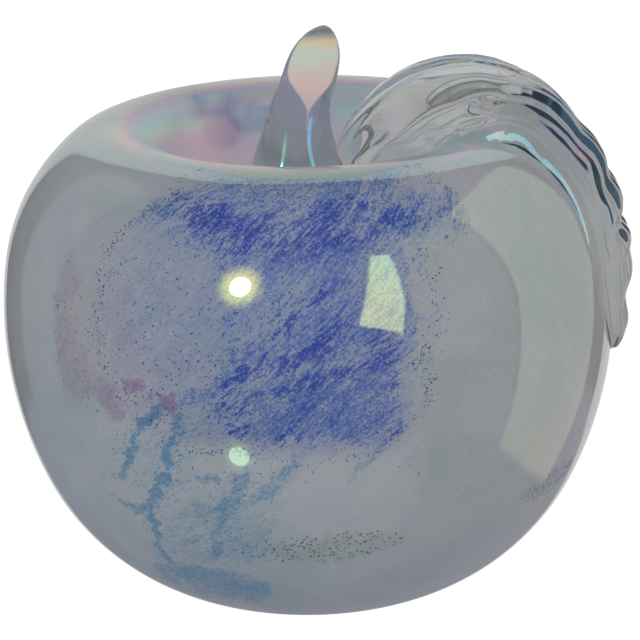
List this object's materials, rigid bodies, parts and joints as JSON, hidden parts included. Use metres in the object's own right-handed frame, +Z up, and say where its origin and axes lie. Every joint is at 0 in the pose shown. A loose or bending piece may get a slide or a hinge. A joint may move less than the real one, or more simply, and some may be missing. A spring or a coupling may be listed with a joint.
{
  "type": "art glass apple",
  "caption": "Blown glass apple with a dimpled top, blue chips melted under a clear iridescent casing, and a clear stem and ribbed leaf.",
  "frame": {"origin": "centre of the ground flat that the apple stands on", "axes": "+Z up along the apple's axis, +X towards the side where the leaf hangs, -Y to the front"},
  "size_m": [0.1245, 0.12, 0.1137],
  "materials": {
    "opal_glass": "opaque pale grey opal glass",
    "cobalt_glass": "cobalt blue glass chips",
    "turquoise_glass": "turquoise blue glass chips",
    "violet_glass": "violet glass chips",
    "green_glass": "dark green glass chips",
    "casing_glass": "clear fire-polished glass with an iridescent skin",
    "clear_glass": "clear fire-polished glass with an iridescent skin"
  },
  "bodies": {
    "root": {"opal_bubble": "opal_glass", "cobalt_chips": "cobalt_glass", "turquoise_trails": "turquoise_glass", "violet_chips": "violet_glass", "green_chips": "green_glass", "clear_casing": "casing_glass", "stem": "clear_glass", "leaf": "clear_glass"}
  },
  "joints": []
}
